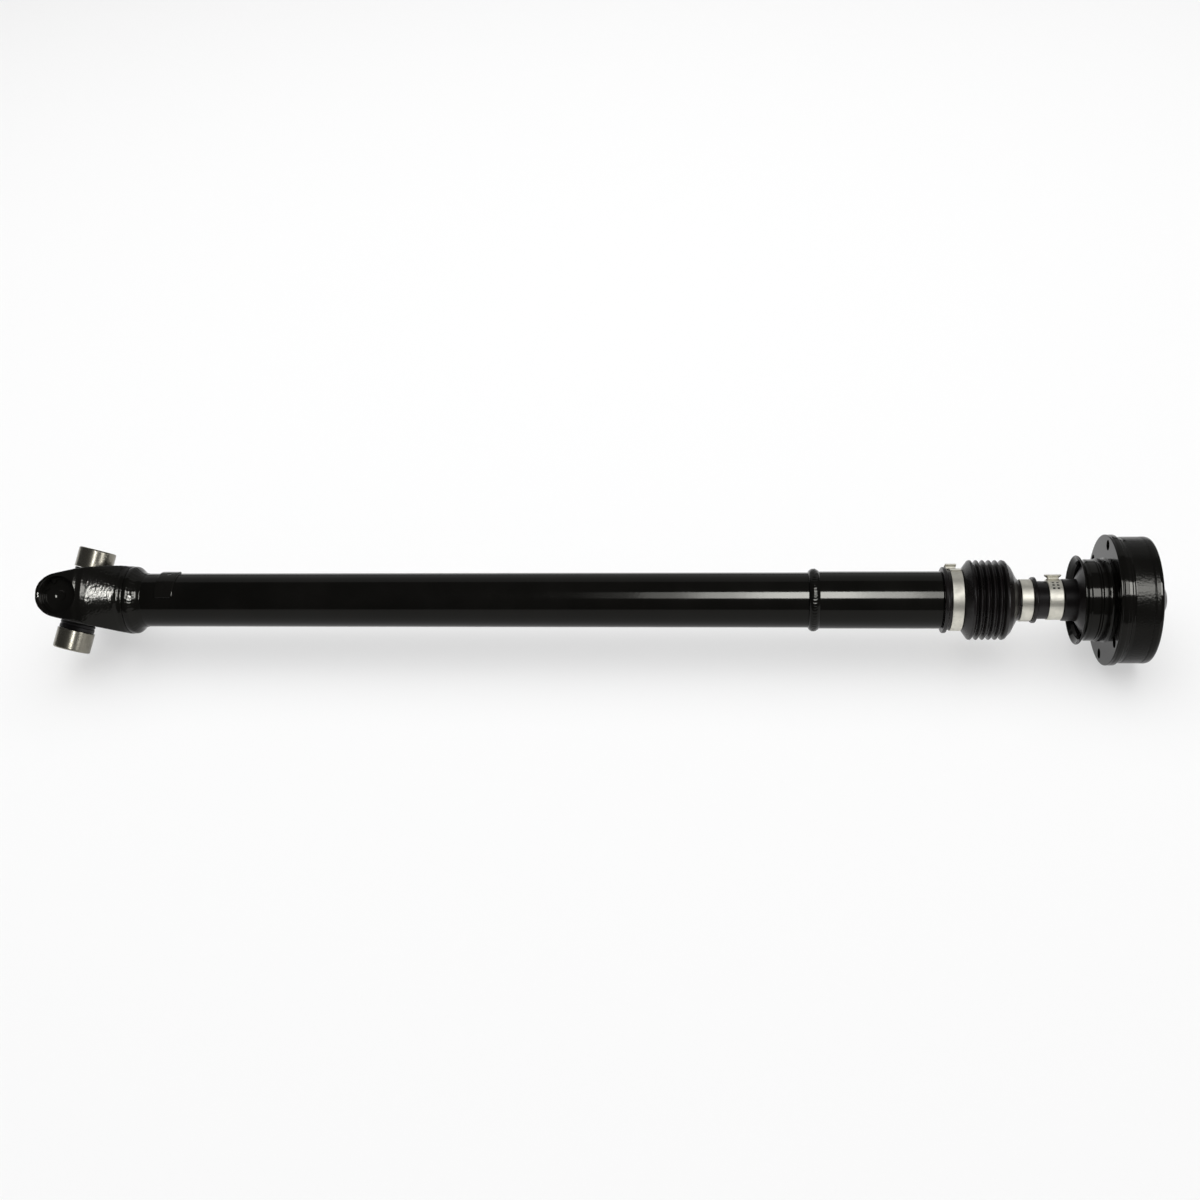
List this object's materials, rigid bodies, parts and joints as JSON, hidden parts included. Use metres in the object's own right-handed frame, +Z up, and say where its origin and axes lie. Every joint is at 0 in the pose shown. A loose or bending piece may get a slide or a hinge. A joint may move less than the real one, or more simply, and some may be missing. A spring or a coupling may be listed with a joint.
{
  "type": "universal joint shaft",
  "caption": "Welded tube shaft with a cross-type universal joint at one end, a splined slip joint under a bellows boot, and a flanged ball-type constant velocity joint at the other",
  "frame": {"origin": "bottom centre of the bounding box: the shaft lies along X with its axis 49 mm above the floor, on the rim of the joint flange", "axes": "+X along the shaft from the tube yoke toward the constant velocity joint, +Z up, -Y the front, where the near ear of the yoke faces forward and up at 45 degrees"},
  "size_m": [0.8576, 0.098, 0.098],
  "materials": {
    "black_paint": "gloss black paint over steel",
    "cup_steel": "satin ground steel",
    "clamp_steel": "bright rolled stainless band",
    "machined_steel": "machined, lightly oiled",
    "ball_steel": "polished bearing steel",
    "boot_rubber": "moulded rubber, semi-matt"
  },
  "bodies": {
    "shaft_tube": {"tube_yoke": "black_paint", "yoke_weld": "black_paint", "tube": "black_paint", "balance_weight": "black_paint", "sleeve_weld": "black_paint", "slip_sleeve": "black_paint", "splined_bush": "machined_steel", "slip_boot": "boot_rubber", "clamp_boot_large": "clamp_steel", "cup_ear_near": "black_paint", "cup_ear_far": "black_paint", "seal_ear_near": "boot_rubber", "seal_ear_far": "boot_rubber", "snap_ring_ear_near": "machined_steel", "snap_ring_ear_far": "machined_steel"},
    "joint_cross": {"cross": "machined_steel", "needles_ear_near": "machined_steel", "needles_ear_far": "machined_steel", "needles_free_upper": "machined_steel", "needles_free_lower": "machined_steel"},
    "upper_cup": {"cup_free_upper": "cup_steel", "seal_free_upper": "boot_rubber"},
    "lower_cup": {"cup_free_lower": "cup_steel", "seal_free_lower": "boot_rubber"},
    "slip_stub": {"stub_shaft": "machined_steel", "cv_inner_race": "machined_steel", "circlip": "machined_steel", "clamp_boot_small": "clamp_steel", "clamp_cv_boot": "clamp_steel", "cv_boot": "boot_rubber"},
    "cv_cage_set": {"cv_cage": "machined_steel", "cv_ball_1": "ball_steel", "cv_ball_2": "ball_steel", "cv_ball_3": "ball_steel", "cv_ball_4": "ball_steel", "cv_ball_5": "ball_steel", "cv_ball_6": "ball_steel"},
    "cv_housing": {"cv_outer_race": "black_paint", "boot_can": "black_paint", "grease_cap": "black_paint"}
  },
  "joints": [
    {"name": "cross_swing", "type": "hinge", "parent": "shaft_tube", "child": "joint_cross", "pos_m": [-0.4056, 0, 0.049], "axis": [0, -0.7071, 0.7071], "range_deg": [-16.5, 43.5]},
    {"name": "upper_cup_spin", "type": "hinge", "parent": "joint_cross", "child": "upper_cup", "pos_m": [-0.4056, 0, 0.049], "axis": [0.2334, 0.6876, 0.6876], "continuous": true},
    {"name": "lower_cup_spin", "type": "hinge", "parent": "joint_cross", "child": "lower_cup", "pos_m": [-0.4056, 0, 0.049], "axis": [0.2334, 0.6876, 0.6876], "continuous": true},
    {"name": "slip", "type": "slide", "parent": "shaft_tube", "child": "slip_stub", "axis": [1, 0, 0], "range_m": [-0.012, 0.02], "deforming": ["slip_boot"]},
    {"name": "cv_bend_pitch", "type": "hinge", "parent": "slip_stub", "child": "cv_cage_set", "pos_m": [0.3974, 0, 0.049], "axis": [0, 1, 0], "range_deg": [-12, 12], "deforming": ["cv_boot"]},
    {"name": "cv_bend_yaw", "type": "hinge", "parent": "cv_cage_set", "child": "cv_housing", "pos_m": [0.3974, 0, 0.049], "axis": [0, 0, 1], "range_deg": [-12, 12], "deforming": ["cv_boot"]}
  ]
}
